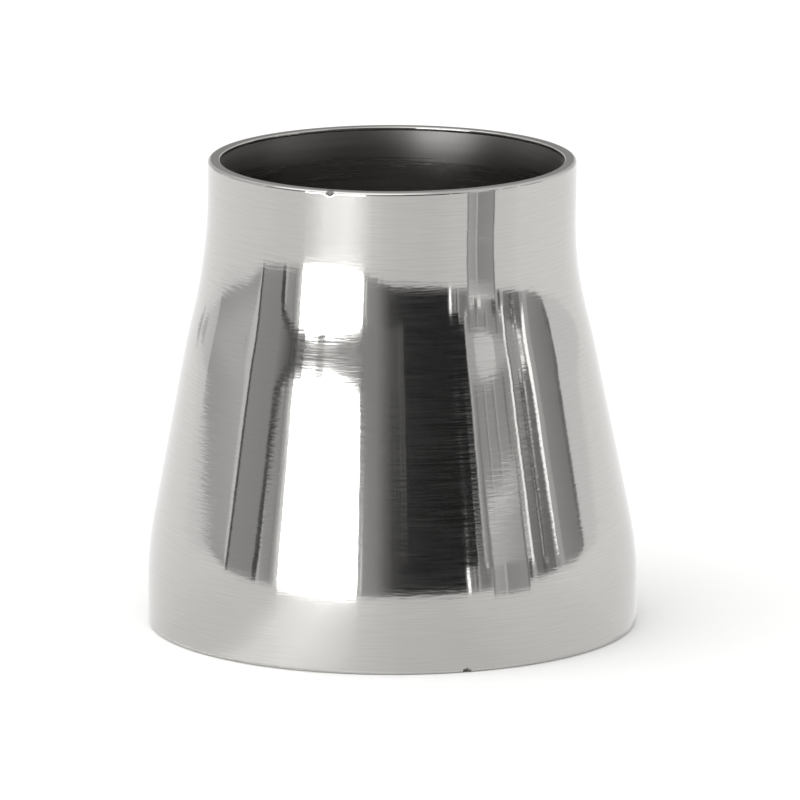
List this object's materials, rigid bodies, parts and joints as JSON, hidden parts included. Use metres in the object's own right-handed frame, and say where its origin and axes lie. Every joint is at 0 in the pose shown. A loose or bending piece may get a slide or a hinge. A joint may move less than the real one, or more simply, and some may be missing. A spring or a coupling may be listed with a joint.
{
  "type": "pipe reducer",
  "caption": "Concentric butt-weld reducer in polished stainless steel: a flared round wall that joins a larger tube to a smaller one on the same axis.",
  "frame": {"origin": "centre of the large end's face", "axes": "+Z along the tube axis towards the small end"},
  "size_m": [0.1016, 0.1016, 0.0975],
  "materials": {
    "polished_stainless": "mirror polished outside, satin inside"
  },
  "bodies": {
    "root": {"reducer_body": "polished_stainless"}
  },
  "joints": []
}
